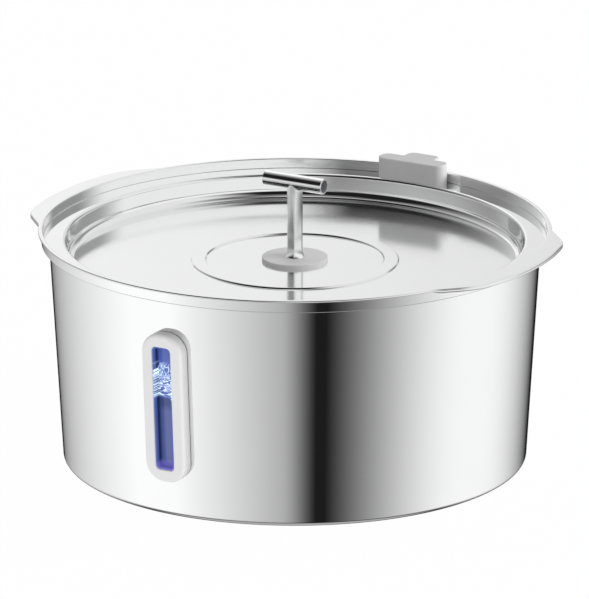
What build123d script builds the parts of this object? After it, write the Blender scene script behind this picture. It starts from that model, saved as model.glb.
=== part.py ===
from build123d import *
import os
from math import atan2, cos, degrees, radians, sin

# Pet water fountain: a stainless bowl, a drop-in drinking tray with a T-shaped spout,
# and a small submersible pump in a filter box on the bowl's floor.
# Millimetres, +Z up. Origin: centre of the flat underside of the bowl.
# The level window faces -Y, the carry ears lie along X, the cable clip sits at +Y.

os.makedirs("parts", exist_ok=True)

# ---------------------------------------------------------------- driving dimensions
SLIP = 0.05             # running clearance on a radius
EASE = 0.3              # gap between curved faces of pieces that come apart

rim_height = 103.0      # top of the bowl's rim above the table
sheet = 0.6             # steel of the bowl
base_radius = 100.8     # outside of the wall, carried down to the table
wall_top_radius = 106.3 # outside of the wall just under the ledge
base_round = 2.5
rim_radius = 111.0      # outer edge of the rolled rim
rim_thickness = 0.9
rim_round = 0.4         # upper outer edge of the rolled rim and the ears
band_radius = 109.6     # outside of the upright band that holds the tray
ledge_drop = 5.05       # rim top down to the ledge
ear_thickness = 1.8     # the ears' edge is folded back once more
ear_reach = 117.9       # centre of the bowl to the edge of an ear
ear_shoulder = (111.3, 39.2)
ear_root_angle = 28.4
ear_round = 27.0

tray_sheet = 0.6
flange_radius = 108.6
well_radius = 99.7      # lip of the drinking well
well_foot_radius = 98.9
well_foot_round = 4.0
well_floor_drop = 14.8  # rim top down to the floor of the well
ring_inner = 38.3       # raised ring pressed into the floor
ring_outer = 45.1
ring_height = 0.7

tube_radius = 3.4       # spout tube, outside
tube_bore = 2.7
bar_length = 29.1
bar_rise = 20.1         # rim top up to the axis of the cross tube
seal_radius = 14.25
seal_thickness = 1.6
neck_radius = 7.0

window_width = 19.4
window_height = 66.3
window_round = 8.6      # corners of the bezel
window_centre = 50.4    # height of the window's centre
window_side = -1.1      # the window sits a little to one side of the middle
window_stand = 5.5      # how far the bezel's face stands off the wall
slot_width = 9.1
slot_height = 55.2
slot_round = 2.0
slot_lip = 0.5          # rounding of the slot's outer edge
lens_recess = 0.6       # lens edge below the bezel's face
lens_wall = 0.5
lens_pocket = 3.6       # depth of the hollow in the lens
gasket_thickness = 0.3

clip_width = 33.2
clip_side = -0.2        # the clip sits a little to one side of the middle
clip_front = 100.0      # distance of the clip's front face from the bowl's axis
clip_back = 115.2
clip_lobe_width = 15.5
clip_lobe_side = 0.4
clip_rise = 4.7         # rim top up to the top of the clip
lead_radius = 1.7       # tunnel for the pump's lead

box_radius = 52.0       # filter box
box_floor = 5.5
box_top = 58.0
box_wall = 2.0
cartridge_floor = 46.5
pump_axis_height = 29.0
chamber_radius = 12.6
outlet_radius = 4.0
outlet_bore = 2.8
outlet_top = 68.0

# ---------------------------------------------------------------- derived levels
ledge_top = rim_height - ledge_drop
flange_top = ledge_top + tray_sheet
floor_top = rim_height - well_floor_drop
bar_axis = rim_height + bar_rise
wall_slope = (wall_top_radius - base_radius) / (ledge_top - sheet)
draft = degrees(atan2(wall_slope, 1.0))
pump_floor = box_floor + box_wall


def wall_radius(height):
    """Outside radius of the bowl's wall at a height."""
    return base_radius + wall_slope * height


def corner(sketch, x, y):
    """The vertex of a profile nearest to a point."""
    return sketch.vertices().sort_by_distance((x, y, 0))[0]


def save(builder, name):
    """Label a finished piece and write its STEP file."""
    builder.part.label = name
    export_step(builder.part, f"parts/{name}.step")


# The window's own plane: on the wall, facing outwards, its Y axis up the wall.
window_plane = Plane(
    origin=(window_side, -wall_radius(window_centre), window_centre),
    x_dir=(1, 0, 0),
    z_dir=(0, -cos(radians(draft)), -sin(radians(draft))),
)
spigot_width = slot_width + 3.0
spigot_height = slot_height + 3.0
screw_reach = spigot_height / 2 + 1.9

# ---------------------------------------------------------------- bowl
ear_root = (rim_radius * cos(radians(ear_root_angle)), rim_radius * sin(radians(ear_root_angle)))

with BuildPart() as bowl:
    with BuildSketch(Plane.XZ) as profile:
        with BuildLine():
            Polyline(
                (0, 0),
                (base_radius, 0),
                (wall_top_radius, ledge_top - sheet),
                (band_radius, ledge_top - sheet),
                (band_radius, rim_height - rim_thickness),
                (rim_radius, rim_height - rim_thickness),
                (rim_radius, rim_height),
                (band_radius - sheet, rim_height),
                (band_radius - sheet, ledge_top),
                (wall_top_radius - sheet, ledge_top),
                (base_radius - sheet, sheet),
                (0, sheet),
                close=True,
            )
        make_face()
        fillet(corner(profile.sketch_local, base_radius, 0), base_round)
        fillet(corner(profile.sketch_local, base_radius - sheet, sheet), base_round - sheet)
        fillet(corner(profile.sketch_local, band_radius, ledge_top - sheet), 0.4)
        fillet(corner(profile.sketch_local, band_radius - sheet, rim_height), 0.5)
    revolve(axis=Axis.Z)
    with BuildSketch(Plane.XY.offset(rim_height - ear_thickness)) as ears:
        for side in (1, -1):
            with BuildLine():
                tip = ThreePointArc(
                    (side * ear_shoulder[0], -ear_shoulder[1]),
                    (side * ear_reach, 0),
                    (side * ear_shoulder[0], ear_shoulder[1]),
                )
                Polyline(
                    tip @ 1,
                    (side * ear_root[0], ear_root[1]),
                    (side * ear_root[0], -ear_root[1]),
                    tip @ 0,
                )
            make_face()
        for side in (1, -1):
            for hand in (1, -1):
                fillet(corner(ears.sketch_local, side * ear_shoulder[0], hand * ear_shoulder[1]), ear_round)
        Circle(band_radius, mode=Mode.SUBTRACT)
    extrude(amount=ear_thickness)
    rim_top = bowl.faces().filter_by(Axis.Z).sort_by(Axis.Z)[-1]
    fillet(rim_top.outer_wire().edges(), rim_round)
    # hole for the window's spigot, and one above and one below it for the screws
    with BuildSketch(window_plane.offset(-4)):
        RectangleRounded(spigot_width + 0.3, spigot_height + 0.3, slot_round + 1.6)
        with Locations((0, screw_reach), (0, -screw_reach)):
            Circle(1.1)
    extrude(amount=8, mode=Mode.SUBTRACT)
save(bowl, "bowl")

# ---------------------------------------------------------------- level window
# Solids bounded by the wall's outer and inner faces, to shape what lies against them.
with BuildPart() as outside_of_wall:
    with BuildSketch(Plane.XZ):
        with BuildLine():
            Polyline(
                (0, 0),
                (wall_radius(0), 0),
                (wall_radius(rim_height), rim_height),
                (0, rim_height),
                close=True,
            )
        make_face()
    revolve(axis=Axis.Z)
with BuildPart() as over_gasket:
    with BuildSketch(Plane.XZ):
        with BuildLine():
            Polyline(
                (0, 0),
                (wall_radius(0) + gasket_thickness, 0),
                (wall_radius(rim_height) + gasket_thickness, rim_height),
                (0, rim_height),
                close=True,
            )
        make_face()
    revolve(axis=Axis.Z)
with BuildPart() as inside_of_wall:
    with BuildSketch(Plane.XZ):
        with BuildLine():
            Polyline(
                (0, 0),
                (wall_radius(0) - sheet - SLIP, 0),
                (wall_radius(rim_height) - sheet - SLIP, rim_height),
                (0, rim_height),
                close=True,
            )
        make_face()
    revolve(axis=Axis.Z)

lens_seat = -2.2        # the shoulder that the lens is pushed against, seen from the wall
spigot_end = -5.0

with BuildPart() as window_bezel:
    with BuildSketch(window_plane.offset(-2)):
        RectangleRounded(window_width, window_height, window_round)
    extrude(amount=window_stand + 2)
    fillet(window_bezel.faces().sort_by(Axis.Y)[0].edges(), 1.6)
    add(over_gasket.part, mode=Mode.SUBTRACT)
    with BuildSketch(window_plane.offset(spigot_end)):
        RectangleRounded(spigot_width, spigot_height, slot_round + 1.5)
    extrude(amount=-spigot_end + 1.5)
    with BuildSketch(window_plane.offset(spigot_end)):
        RectangleRounded(slot_width, slot_height, slot_round)
    extrude(amount=-spigot_end + window_stand, mode=Mode.SUBTRACT)
    bezel_front = window_bezel.faces().filter_by(GeomType.PLANE).sort_by(Axis.Y)[0]
    fillet(bezel_front.inner_wires()[0].edges(), slot_lip)
    with BuildSketch(window_plane.offset(spigot_end)):
        RectangleRounded(slot_width + 1.6, slot_height + 1.6, slot_round + 0.8)
    extrude(amount=lens_seat - spigot_end, mode=Mode.SUBTRACT)
    with BuildSketch(window_plane):
        with Locations((0, screw_reach), (0, -screw_reach)):
            Circle(0.95)
    extrude(amount=3.2, mode=Mode.SUBTRACT)
save(window_bezel, "window_bezel")

with BuildPart() as window_gasket:
    with BuildSketch(window_plane.offset(-2)):
        RectangleRounded(window_width - 0.6, window_height - 0.6, window_round - 0.3)
        RectangleRounded(spigot_width + 0.3, spigot_height + 0.3, slot_round + 1.6, mode=Mode.SUBTRACT)
        with Locations((0, screw_reach), (0, -screw_reach)):
            Circle(1.1, mode=Mode.SUBTRACT)
    extrude(amount=4)
    add(over_gasket.part, mode=Mode.INTERSECT)
    add(outside_of_wall.part, mode=Mode.SUBTRACT)
save(window_gasket, "window_gasket")

with BuildPart() as window_lens:
    with BuildSketch(window_plane.offset(lens_seat)):
        RectangleRounded(slot_width - 0.2, slot_height - 0.2, slot_round - 0.1)
    extrude(amount=window_stand - lens_recess - lens_seat)
    with BuildSketch(window_plane.offset(lens_seat)):
        RectangleRounded(slot_width + 1.4, slot_height + 1.4, slot_round + 0.7)
    extrude(amount=-2.0)
    # the lens is a deep dish, open to the outside
    with BuildSketch(window_plane.offset(window_stand - lens_recess)):
        RectangleRounded(slot_width - 2 * lens_wall - 0.2, slot_height - 2 * lens_wall - 0.2, slot_round - lens_wall)
    extrude(amount=-lens_pocket, mode=Mode.SUBTRACT)
save(window_lens, "window_lens")

clamp_back = -4.4       # inner face of the clamp, seen from the wall
with BuildPart() as window_clamp:
    with BuildSketch(window_plane.offset(clamp_back)):
        RectangleRounded(window_width - 1.4, window_height - 1.4, window_round - 0.7)
        RectangleRounded(spigot_width + 0.3, spigot_height + 0.3, slot_round + 1.6, mode=Mode.SUBTRACT)
        with Locations((0, screw_reach), (0, -screw_reach)):
            Circle(1.0, mode=Mode.SUBTRACT)
    extrude(amount=-clamp_back)
    add(inside_of_wall.part, mode=Mode.INTERSECT)
save(window_clamp, "window_clamp")

with BuildPart() as window_screws:
    with BuildSketch(window_plane.offset(clamp_back)):
        with Locations((0, screw_reach), (0, -screw_reach)):
            Circle(0.9)
    extrude(amount=-clamp_back + 2.8)
    with BuildSketch(window_plane.offset(clamp_back)):
        with Locations((0, screw_reach), (0, -screw_reach)):
            Circle(1.7)
    extrude(amount=-1.3)
    with BuildSketch(window_plane.offset(clamp_back - 1.3)):
        with Locations((0, screw_reach), (0, -screw_reach)):
            Rectangle(2.0, 0.5)
            Rectangle(0.5, 2.0)
    extrude(amount=0.7, mode=Mode.SUBTRACT)
save(window_screws, "window_screws")

# ---------------------------------------------------------------- tray
notch_width = 8.0
notch_depth = 6.5

with BuildPart() as tray:
    with BuildSketch(Plane.XZ) as profile:
        with BuildLine():
            Polyline(
                (neck_radius + EASE, floor_top),
                (ring_inner, floor_top),
                (ring_inner + 0.25, floor_top + ring_height),
                (ring_outer - 0.25, floor_top + ring_height),
                (ring_outer, floor_top),
                (well_foot_radius, floor_top),
                (well_radius - 0.6, flange_top),
                (flange_radius, flange_top),
                (flange_radius, flange_top - tray_sheet),
                (well_radius - 0.6 + tray_sheet, flange_top - tray_sheet),
                (well_foot_radius + tray_sheet, floor_top - tray_sheet),
                (ring_outer + tray_sheet - 0.2, floor_top - tray_sheet),
                (ring_outer - 0.45, floor_top + ring_height - tray_sheet),
                (ring_inner + 0.45, floor_top + ring_height - tray_sheet),
                (ring_inner - tray_sheet + 0.2, floor_top - tray_sheet),
                (neck_radius + EASE, floor_top - tray_sheet),
                close=True,
            )
        make_face()
        fillet(corner(profile.sketch_local, well_radius - 0.6, flange_top), 1.4)
        fillet(corner(profile.sketch_local, well_radius - 0.6 + tray_sheet, flange_top - tray_sheet), 0.7)
        fillet(corner(profile.sketch_local, well_foot_radius, floor_top), well_foot_round)
        fillet(
            corner(profile.sketch_local, well_foot_radius + tray_sheet, floor_top - tray_sheet),
            well_foot_round + tray_sheet,
        )
    revolve(axis=Axis.Z)
    # notch in the flange, under the clip, where the lead comes up and spilt water runs back
    with BuildSketch(Plane.XY.offset(ledge_top - 1)):
        with Locations((0, flange_radius)):
            SlotOverall(2 * notch_depth, notch_width, rotation=90)
    extrude(amount=flange_top - ledge_top + 2, mode=Mode.SUBTRACT)
save(tray, "tray")

# ---------------------------------------------------------------- spout and its seal
seal_top = floor_top + seal_thickness
neck_bottom = floor_top - 5.0
stem_foot = outlet_top + 1.5
flare_height = 4.0
flare = 0.9

with BuildPart() as spout_seal:
    with BuildSketch(Plane.XZ) as profile:
        with BuildLine():
            Polyline(
                (tube_radius + SLIP, neck_bottom),
                (neck_radius, neck_bottom),
                (neck_radius, floor_top),
                (seal_radius, floor_top),
                (seal_radius, seal_top),
                (tube_radius + SLIP, seal_top),
                close=True,
            )
        make_face()
        fillet(corner(profile.sketch_local, seal_radius, seal_top), 0.3)
        chamfer(corner(profile.sketch_local, neck_radius, neck_bottom), 0.6)
    revolve(axis=Axis.Z)
save(spout_seal, "spout_seal")

with BuildPart() as spout_stem:
    with BuildSketch(Plane.XZ) as profile:
        with BuildLine():
            bore_line = Line((tube_bore, stem_foot), (tube_bore, bar_axis))
            Line(bore_line @ 1, (tube_radius, bar_axis))
            Line((tube_radius, bar_axis), (tube_radius, seal_top + flare_height))
            flare_arc = TangentArc(
                (tube_radius, seal_top + flare_height),
                (tube_radius + flare, seal_top),
                tangent=(0, -1),
            )
            Line(flare_arc @ 1, (tube_radius, seal_top))
            Line((tube_radius, seal_top), (tube_radius, stem_foot))
            Line((tube_radius, stem_foot), bore_line @ 0)
        make_face()
    revolve(axis=Axis.Z)
    # coped to sit against the underside of the cross tube
    with Locations((0, 0, bar_axis)):
        Cylinder(tube_radius + 0.02, bar_length, rotation=(0, 90, 0), mode=Mode.SUBTRACT)
save(spout_stem, "spout_stem")

with BuildPart() as spout_bar:
    with BuildSketch(Plane.YZ.offset(-bar_length / 2)):
        with Locations((0, bar_axis)):
            Circle(tube_radius)
    extrude(amount=bar_length)
    chamfer(spout_bar.edges().filter_by(GeomType.CIRCLE), 0.2)
    with BuildSketch(Plane.YZ.offset(-bar_length / 2)):
        with Locations((0, bar_axis)):
            Circle(tube_bore)
    extrude(amount=bar_length, mode=Mode.SUBTRACT)
    with BuildSketch(Plane.XY.offset(bar_axis - tube_radius - 1)):
        Circle(tube_bore - 0.1)
    extrude(amount=tube_radius + 1, mode=Mode.SUBTRACT)
save(spout_bar, "spout_bar")

hose_radius = 5.6
hose_foot = outlet_top - 7.0
hose_top = neck_bottom - 2.0
with BuildPart() as riser_hose:
    with BuildSketch(Plane.XZ):
        with BuildLine():
            Polyline(
                (outlet_radius + SLIP, hose_foot),
                (hose_radius, hose_foot),
                (hose_radius, hose_top),
                (tube_radius + SLIP, hose_top),
                (tube_radius + SLIP, outlet_top + 0.5),
                (outlet_radius + SLIP, outlet_top + 0.5),
                close=True,
            )
        make_face()
    revolve(axis=Axis.Z)
save(riser_hose, "riser_hose")

# ---------------------------------------------------------------- cable clip
clip_bottom = flange_top
lobe_bottom = rim_height - 11.0
clip_top = rim_height + clip_rise
tunnel_height = rim_height + 2.2
tunnel_start = clip_front + 3.6

with BuildPart() as cable_clip:
    block_depth = band_radius - sheet - EASE - clip_front
    with BuildSketch(Plane.XY.offset(clip_bottom)) as block:
        with Locations((clip_side, clip_front + block_depth / 2)):
            RectangleRounded(clip_width, block_depth, 4.0)
    extrude(amount=clip_top - clip_bottom)
    with BuildSketch(Plane.XY.offset(lobe_bottom)) as lobe:
        with Locations((clip_lobe_side, (clip_front + 4 + clip_back) / 2)):
            RectangleRounded(clip_lobe_width, clip_back - clip_front - 4, 3.0)
    extrude(amount=clip_top - lobe_bottom)
    clip_top_face = cable_clip.faces().filter_by(Axis.Z).sort_by(Axis.Z)[-1]
    fillet(clip_top_face.outer_wire().edges(), 0.6)
    # groove that straddles the bowl's rim
    with BuildSketch(Plane.XY.offset(lobe_bottom - 1)):
        Circle(rim_radius + EASE)
        Circle(band_radius - sheet - EASE, mode=Mode.SUBTRACT)
    extrude(amount=rim_height + 0.1 - lobe_bottom + 1, mode=Mode.SUBTRACT)
    # nothing hangs below the flange on the inner side
    with BuildSketch(Plane.XY.offset(lobe_bottom - 1)):
        Circle(band_radius - sheet)
    extrude(amount=clip_bottom - lobe_bottom + 1, mode=Mode.SUBTRACT)
    # tunnel for the lead: up from the notch, then out over the rim
    with BuildSketch(Plane.XY.offset(clip_bottom)):
        with Locations((0, tunnel_start)):
            Circle(lead_radius)
    extrude(amount=tunnel_height - clip_bottom, mode=Mode.SUBTRACT)
    with BuildSketch(Plane.XZ.offset(-tunnel_start)):
        with Locations((0, tunnel_height)):
            Circle(lead_radius)
    extrude(amount=-(clip_back - tunnel_start), mode=Mode.SUBTRACT)
save(cable_clip, "cable_clip")

# ---------------------------------------------------------------- filter box
cup_ring = 34.0
intake_slots = 28
hose_hole = hose_radius + 0.6
shell_radius = box_radius - box_wall - 0.4
shell_bore = hose_radius + 1.6
shell_wall = 1.2
skirt_bottom = box_top - 2.6
shelf_bottom = cartridge_floor - 1.6

with BuildPart() as suction_cup:
    with BuildSketch(Plane.XZ) as profile:
        with BuildLine():
            Polyline(
                (cup_ring, box_floor - 1.2),
                (cup_ring, pump_floor + 1.2),
                (cup_ring + 3.2, pump_floor + 1.2),
                (cup_ring + 3.2, pump_floor + 0.1),
                (cup_ring + 2.3, pump_floor + 0.1),
                (cup_ring + 2.3, box_floor - 0.1),
                (cup_ring + 4.5, box_floor - 0.1),
                (cup_ring + 8.0, sheet + 0.8),
                (cup_ring + 8.0, sheet),
                (cup_ring + 7.2, sheet),
                (cup_ring + 3.5, box_floor - 1.6),
                close=True,
            )
        make_face()
    revolve(axis=Axis((cup_ring, 0, 0), (0, 0, 1)))
with BuildPart() as suction_cups:
    with PolarLocations(0, 4, start_angle=45):
        add(suction_cup.part)
save(suction_cups, "suction_cups")

with BuildPart() as filter_box:
    with BuildSketch(Plane.XY.offset(box_floor)):
        Circle(box_radius)
    extrude(amount=box_top - box_floor)
    fillet(filter_box.faces().sort_by(Axis.Z)[0].edges(), 2.0)
    with BuildSketch(Plane.XY.offset(pump_floor)):
        Circle(box_radius - box_wall)
    extrude(amount=box_top - pump_floor, mode=Mode.SUBTRACT)
    # shelf for the cartridge
    with BuildSketch(Plane.XY.offset(shelf_bottom)):
        Circle(box_radius - box_wall)
        Circle(box_radius - box_wall - 3.0, mode=Mode.SUBTRACT)
    extrude(amount=cartridge_floor - shelf_bottom)
    # slots in the side, where water reaches the foam
    with PolarLocations(box_radius - 1, intake_slots):
        with Locations((0, 0, 26)):
            Box(6, 3.2, 22, mode=Mode.SUBTRACT)
    with PolarLocations(cup_ring, 4, start_angle=45):
        with Locations((0, 0, box_floor + 1)):
            Cylinder(2.4, 6, mode=Mode.SUBTRACT)
save(filter_box, "filter_box")

with BuildPart() as filter_box_lid:
    with BuildSketch(Plane.XY.offset(box_top)):
        Circle(box_radius)
    extrude(amount=1.8)
    fillet(filter_box_lid.faces().sort_by(Axis.Z)[-1].edges(), 0.8)
    # skirt that the cartridge is pushed onto
    with BuildSketch(Plane.XY.offset(skirt_bottom)):
        Circle(shell_radius - shell_wall - SLIP)
        Circle(shell_radius - shell_wall - SLIP - 1.3, mode=Mode.SUBTRACT)
    extrude(amount=box_top - skirt_bottom)
    with BuildSketch(Plane.XY.offset(box_top - 1)):
        Circle(hose_hole)
        for ring, holes in ((14, 10), (21, 16), (28, 22), (35, 28), (42, 34)):
            with PolarLocations(ring, holes):
                Circle(1.7)
    extrude(amount=4, mode=Mode.SUBTRACT)
save(filter_box_lid, "filter_box_lid")

with BuildPart() as filter_cartridge:
    with BuildSketch(Plane.XZ):
        with BuildLine():
            Polyline(
                (shell_bore, cartridge_floor),
                (shell_radius, cartridge_floor),
                (shell_radius, box_top),
                (shell_radius - shell_wall, box_top),
                (shell_radius - shell_wall, cartridge_floor + shell_wall),
                (shell_bore + shell_wall, cartridge_floor + shell_wall),
                (shell_bore + shell_wall, box_top),
                (shell_bore, box_top),
                close=True,
            )
        make_face()
    revolve(axis=Axis.Z)
    with BuildSketch(Plane.XY.offset(cartridge_floor - 1)):
        for ring, holes in ((14, 12), (21, 18), (28, 24), (35, 30), (42, 36)):
            with PolarLocations(ring, holes):
                Circle(1.3)
    extrude(amount=3, mode=Mode.SUBTRACT)
save(filter_cartridge, "filter_cartridge")

fleece_bottom = skirt_bottom - 2.8
with BuildPart() as carbon_bed:
    with BuildSketch(Plane.XY.offset(cartridge_floor + shell_wall)):
        Circle(shell_radius - shell_wall - 0.1)
        Circle(shell_bore + shell_wall + 0.1, mode=Mode.SUBTRACT)
    extrude(amount=fleece_bottom - cartridge_floor - shell_wall)
save(carbon_bed, "carbon_bed")

with BuildPart() as filter_fleece:
    with BuildSketch(Plane.XY.offset(fleece_bottom)):
        Circle(shell_radius - shell_wall - 0.1)
        Circle(shell_bore + shell_wall + 0.1, mode=Mode.SUBTRACT)
    extrude(amount=skirt_bottom - fleece_bottom)
save(filter_fleece, "filter_fleece")

foam_bore = 38.0
with BuildPart() as foam_sleeve:
    with BuildSketch(Plane.XY.offset(pump_floor)):
        Circle(box_radius - box_wall - 0.3)
        Circle(foam_bore, mode=Mode.SUBTRACT)
    extrude(amount=shelf_bottom - 0.3 - pump_floor)
save(foam_sleeve, "foam_sleeve")

# ---------------------------------------------------------------- pump
# The rotor turns about a horizontal axis along Y; the outlet rises on the bowl's centre line.
chamber_front = -6.0
chamber_back = 3.0
block_front = 5.0
block_back = 28.0
block_half = 20.0
block_top = 43.5
block_wall = 2.0
well_bore = 7.2
well_radius_out = 8.4
well_end = 24.0
lug_ring = 16.8
lug_radius = 2.6
cover_thickness = 2.0


def across(y):
    """Sketch plane across the rotor axis at a distance along Y; extrusions run towards +Y."""
    return Plane(origin=(0, y, pump_axis_height), x_dir=(-1, 0, 0), z_dir=(0, 1, 0))


with BuildPart() as pump_body:
    with BuildSketch(across(block_front)):
        with Locations((0, (block_top + pump_floor) / 2 - pump_axis_height)):
            RectangleRounded(2 * block_half, block_top - pump_floor, 4.0)
    extrude(amount=block_back - block_front)
    with BuildSketch(across(block_front + block_wall)):
        with Locations((0, (block_top + pump_floor) / 2 - pump_axis_height)):
            RectangleRounded(2 * (block_half - block_wall), block_top - pump_floor - 2 * block_wall, 2.0)
    extrude(amount=block_back - block_front, mode=Mode.SUBTRACT)
    with BuildSketch(across(chamber_front)):
        Circle(chamber_radius + 2.4)
        with PolarLocations(lug_ring, 4, start_angle=45):
            Circle(lug_radius)
    extrude(amount=block_front - chamber_front)
    with BuildSketch(across(block_front)):
        Circle(well_radius_out)
    extrude(amount=well_end + 1.4 - block_front)
    with BuildSketch(Plane.XY.offset(pump_axis_height + chamber_radius)):
        Circle(outlet_radius)
    extrude(amount=outlet_top - pump_axis_height - chamber_radius)
    with BuildSketch(across(chamber_front)):
        Circle(chamber_radius)
    extrude(amount=chamber_back - chamber_front, mode=Mode.SUBTRACT)
    with BuildSketch(across(chamber_front)):
        Circle(well_bore)
    extrude(amount=well_end - chamber_front, mode=Mode.SUBTRACT)
    # collar at the closed end of the rotor's well, which holds the rear bush
    with BuildSketch(across(well_end - 1.4)):
        Circle(4.6)
        Circle(3.0 + SLIP, mode=Mode.SUBTRACT)
    extrude(amount=1.4)
    with BuildSketch(Plane.XY.offset(pump_axis_height + chamber_radius - 2)):
        Circle(outlet_bore)
    extrude(amount=outlet_top, mode=Mode.SUBTRACT)
    with BuildSketch(across(chamber_front)):
        with PolarLocations(lug_ring, 4, start_angle=45):
            Circle(0.95)
    extrude(amount=8, mode=Mode.SUBTRACT)
    # windows in the top for the lamps
    with BuildSketch(Plane.XY.offset(block_top - block_wall - 1)):
        with Locations((-12, 12), (12, 12)):
            Circle(2.6)
    extrude(amount=4, mode=Mode.SUBTRACT)
save(pump_body, "pump_body")

nose_radius = 10.0
nose_front = -13.0
bush_radius = 2.4
with BuildPart() as pump_cover:
    with BuildSketch(across(chamber_front - cover_thickness)):
        Circle(chamber_radius + 2.4)
        with PolarLocations(lug_ring, 4, start_angle=45):
            Circle(lug_radius)
    extrude(amount=cover_thickness)
    with BuildSketch(across(nose_front)):
        Circle(nose_radius)
    extrude(amount=chamber_front - cover_thickness - nose_front)
    fillet(pump_cover.faces().sort_by(Axis.Y)[0].edges(), 1.5)
    with BuildSketch(across(nose_front + 1.4)):
        Circle(nose_radius - 1.4)
    extrude(amount=20, mode=Mode.SUBTRACT)
    with BuildSketch(across(nose_front - 1)):
        with GridLocations(3.2, 0, 5, 1):
            Rectangle(1.6, 12)
    extrude(amount=3, mode=Mode.SUBTRACT)
    # spider that holds the front end of the shaft
    with BuildSketch(across(chamber_front - cover_thickness)):
        Circle(bush_radius + 1.2)
        Rectangle(2 * nose_radius - 1.5, 2.0)
    extrude(amount=cover_thickness)
    with BuildSketch(across(chamber_front - cover_thickness)):
        Circle(bush_radius + SLIP)
        with PolarLocations(lug_ring, 4, start_angle=45):
            Circle(1.1)
    extrude(amount=cover_thickness, mode=Mode.SUBTRACT)
save(pump_cover, "pump_cover")

with BuildPart() as cover_screws:
    with BuildSketch(across(chamber_front - cover_thickness)):
        with PolarLocations(lug_ring, 4, start_angle=45):
            Circle(0.9)
    extrude(amount=8)
    with BuildSketch(across(chamber_front - cover_thickness - 1.2)):
        with PolarLocations(lug_ring, 4, start_angle=45):
            Circle(1.8)
    extrude(amount=1.2)
save(cover_screws, "cover_screws")

shaft_radius = 1.0
sleeve_radius = 2.4
sleeve_end = 21.5
vane_front = -4.6
vane_back = 1.6
with BuildPart() as impeller:
    with BuildSketch(across(vane_back - 1.0)):
        Circle(chamber_radius - 1.6)
    extrude(amount=1.0)
    with BuildSketch(across(vane_front)):
        Circle(3.6)
        with PolarLocations((chamber_radius - 1.6) / 2 + 1.0, 6):
            Rectangle(chamber_radius - 3.6, 1.2)
    extrude(amount=vane_back - 1.0 - vane_front)
    with BuildSketch(across(vane_back)):
        Circle(sleeve_radius)
    extrude(amount=sleeve_end - vane_back)
    with BuildSketch(across(vane_front)):
        Circle(shaft_radius + SLIP)
    extrude(amount=sleeve_end - vane_front, mode=Mode.SUBTRACT)
save(impeller, "impeller")

with BuildPart() as rotor_magnet:
    with BuildSketch(across(vane_back + 2.6)):
        Circle(6.4)
        Circle(sleeve_radius + SLIP, mode=Mode.SUBTRACT)
    extrude(amount=sleeve_end - vane_back - 3.0)
save(rotor_magnet, "rotor_magnet")

with BuildPart() as rotor_shaft:
    with BuildSketch(across(chamber_front - cover_thickness + 0.2)):
        Circle(shaft_radius)
    extrude(amount=well_end - 0.2 - chamber_front + cover_thickness - 0.2)
save(rotor_shaft, "rotor_shaft")

with BuildPart() as shaft_bushes:
    with BuildSketch(across(chamber_front - cover_thickness)):
        Circle(bush_radius)
        Circle(shaft_radius + SLIP, mode=Mode.SUBTRACT)
    extrude(amount=cover_thickness + 0.4)
    with BuildSketch(across(well_end - 1.8)):
        Circle(3.0)
        Circle(shaft_radius + SLIP, mode=Mode.SUBTRACT)
    extrude(amount=1.8)
save(shaft_bushes, "shaft_bushes")

core_front = 9.0
core_depth = 12.0
yoke_bottom = 11.8
yoke_top = 16.8
arm_top = 38.4          # the driver board rests on the arms
arm_outside = 15.0
with BuildPart() as stator_core:
    with BuildSketch(across(core_front)):
        with Locations((0, (yoke_bottom + arm_top) / 2 - pump_axis_height)):
            Rectangle(2 * arm_outside, arm_top - yoke_bottom)
        with Locations((0, (yoke_top + arm_top + 1) / 2 - pump_axis_height)):
            Rectangle(2 * well_radius_out, arm_top + 1 - yoke_top, mode=Mode.SUBTRACT)
        Circle(well_radius_out + 0.4, mode=Mode.SUBTRACT)
    extrude(amount=core_depth)
save(stator_core, "stator_core")

coil_half = 7.4
with BuildPart() as stator_coil:
    with BuildSketch(Plane.YZ.offset(-coil_half)):
        with Locations((core_front + core_depth / 2, (yoke_bottom + yoke_top) / 2)):
            RectangleRounded(core_depth + 3.6, yoke_top - yoke_bottom + 3.6, 1.6)
            Rectangle(core_depth + 0.2, yoke_top - yoke_bottom + 0.2, mode=Mode.SUBTRACT)
    extrude(amount=2 * coil_half)
save(stator_coil, "stator_coil")

board_height = arm_top
with BuildPart() as driver_board:
    with BuildSketch(Plane.XY.offset(board_height)):
        with Locations((0, 15.5)):
            Rectangle(32, 16)
    extrude(amount=1.2)
save(driver_board, "driver_board")

with BuildPart() as led_lamps:
    with BuildSketch(Plane.XY.offset(board_height + 1.2)):
        with Locations((-12, 12), (12, 12)):
            Circle(2.5)
    extrude(amount=5.0)
    fillet(led_lamps.faces().filter_by(Axis.Z).group_by(Axis.Z)[-1].edges(), 2.2)
save(led_lamps, "led_lamps")

gland_place = (-12.0, 14.5 - pump_axis_height)
plug_width = 2 * (block_half - block_wall) - 0.1
plug_height = block_top - pump_floor - 2 * block_wall - 0.1
with BuildPart() as potting_block:
    with BuildSketch(across(block_back - 2.0)):
        with Locations((0, (block_top + pump_floor) / 2 - pump_axis_height)):
            RectangleRounded(plug_width, plug_height, 1.9)
        with Locations(gland_place):
            Circle(3.05, mode=Mode.SUBTRACT)
    extrude(amount=2.0)
save(potting_block, "potting_block")

with BuildPart() as cord_gland:
    with BuildSketch(across(block_back - 4.0)):
        with Locations(gland_place):
            Circle(3.0)
    extrude(amount=7.0)
    with BuildSketch(across(block_back)):
        with Locations(gland_place):
            Circle(4.0)
    extrude(amount=1.5)
    with BuildSketch(across(block_back - 4.0)):
        with Locations(gland_place):
            Circle(lead_radius)
    extrude(amount=7.0, mode=Mode.SUBTRACT)
save(cord_gland, "cord_gland")
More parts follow.
